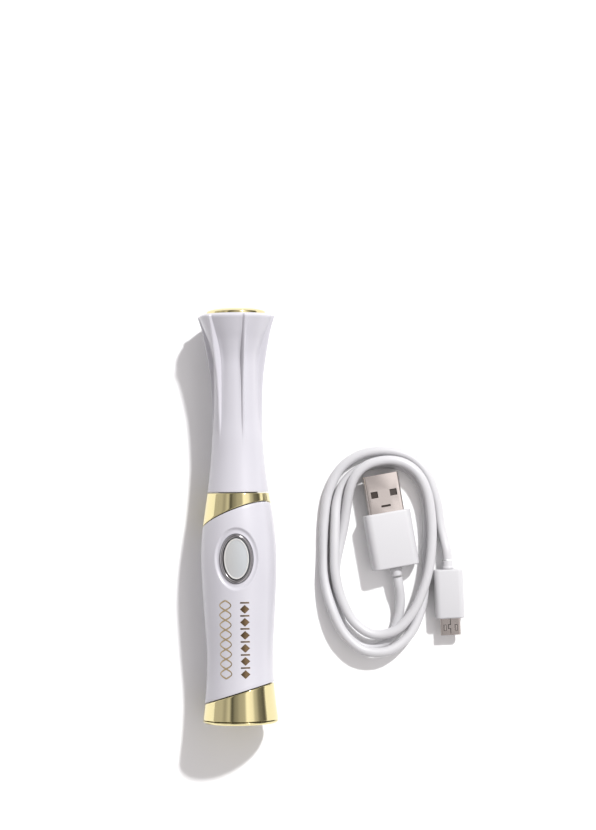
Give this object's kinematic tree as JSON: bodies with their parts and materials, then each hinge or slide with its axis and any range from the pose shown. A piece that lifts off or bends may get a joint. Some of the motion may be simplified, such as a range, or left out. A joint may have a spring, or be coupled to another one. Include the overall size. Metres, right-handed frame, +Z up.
{
  "type": "heated eyelash curler",
  "caption": "Pen-shaped rechargeable heated eyelash curler with a ribbed flared cap, gold-toned collar and base, oval button, and its USB charging lead.",
  "frame": {"origin": "on the resting surface, under the middle of the curler's own box; the charging lead isn't counted", "axes": "+X to the right towards the charging lead, +Y along the curler from its base to its cap, +Z up, within 3 degrees of the way the button faces"},
  "size_m": [0.0891, 0.1396, 0.0256],
  "materials": {
    "white_gloss": "glossy injection-moulded plastic, white with a faint lavender cast",
    "gold_trim": "mirror-polished pale champagne gold anodising",
    "dark_chrome": "black-chrome plating",
    "button_lens": "translucent grey, satin",
    "frosted_plastic": "frosted translucent",
    "inner_grey": "fine moulded texture",
    "heat_resin": "satin heat-resistant resin",
    "hot_metal": "gold-plated, satin",
    "insulator_white": "moulded",
    "insulator_brown": "moulded dark brown",
    "board_green": "solder mask",
    "chip_black": "moulded",
    "plug_steel": "nickel-plated pressed steel",
    "nickel": "nickel strip",
    "cell_wrap": "heat-shrunk sleeve",
    "foam": "open-cell foam",
    "wire_red": "silicone insulation",
    "wire_black": "silicone insulation",
    "seal_rubber": "soft moulded",
    "lead_white": "soft satin thermoplastic elastomer",
    "contact_gold": "gold-plated"
  },
  "bodies": {
    "handle": {"body_shell": "white_gloss", "base_ring": "gold_trim", "neck_collar": "gold_trim", "base_cap": "gold_trim", "button_bezel": "dark_chrome", "inner_frame": "inner_grey", "battery_cell": "cell_wrap", "battery_tab_front": "nickel", "battery_tab_rear": "nickel", "battery_pad_front": "foam", "battery_pad_rear": "foam", "circuit_board": "board_green", "charger_chip": "chip_black", "power_inductor": "chip_black", "control_chip": "chip_black", "tact_switch": "chip_black", "led_ready": "frosted_plastic", "led_charge": "frosted_plastic", "light_guide": "frosted_plastic", "charge_port_shell": "plug_steel", "charge_port_insulator": "chip_black", "thermal_fuse": "nickel", "battery_lead_positive": "wire_red", "battery_lead_negative": "wire_black", "heater_lead_positive": "wire_red", "heater_lead_negative": "wire_black", "neck_screw_left": "plug_steel", "neck_screw_right": "plug_steel", "neck": "white_gloss", "cap_seat_ring": "seal_rubber", "head_nose": "heat_resin", "comb_frame": "heat_resin", "heater_bar": "hot_metal", "heating_element": "insulator_white"},
    "cap": {"cap_shell": "white_gloss", "cap_liner": "frosted_plastic", "cap_end_disc": "gold_trim"},
    "button": {"power_button": "button_lens", "switch_plunger": "insulator_white"},
    "charging_lead": {"usb_a_shell": "plug_steel", "usb_a_insulator": "insulator_brown", "usb_a_contact_1": "contact_gold", "usb_a_contact_2": "contact_gold", "usb_a_contact_3": "contact_gold", "usb_a_contact_4": "contact_gold", "usb_a_grip": "lead_white", "usb_a_strain_relief": "lead_white", "micro_usb_shell": "plug_steel", "micro_usb_insulator": "chip_black", "micro_usb_latch_left": "plug_steel", "micro_usb_latch_right": "plug_steel", "micro_usb_grip": "lead_white", "micro_usb_strain_relief": "lead_white", "lead_cable": "lead_white"}
  },
  "joints": [
    {"name": "cap_pull", "type": "slide", "parent": "handle", "child": "cap", "axis": [0, 1, 0], "range_m": [0, 0.07]},
    {"name": "button_press", "type": "slide", "parent": "handle", "child": "button", "axis": [0.0506, 0, -0.9987], "range_m": [0, 0.0006], "stiffness_N_per_m": 1500},
    {"name": "lead_reach", "type": "slide", "parent": "handle", "child": "charging_lead", "axis": [1, 0, 0], "range_m": [0, 0.1]}
  ]
}
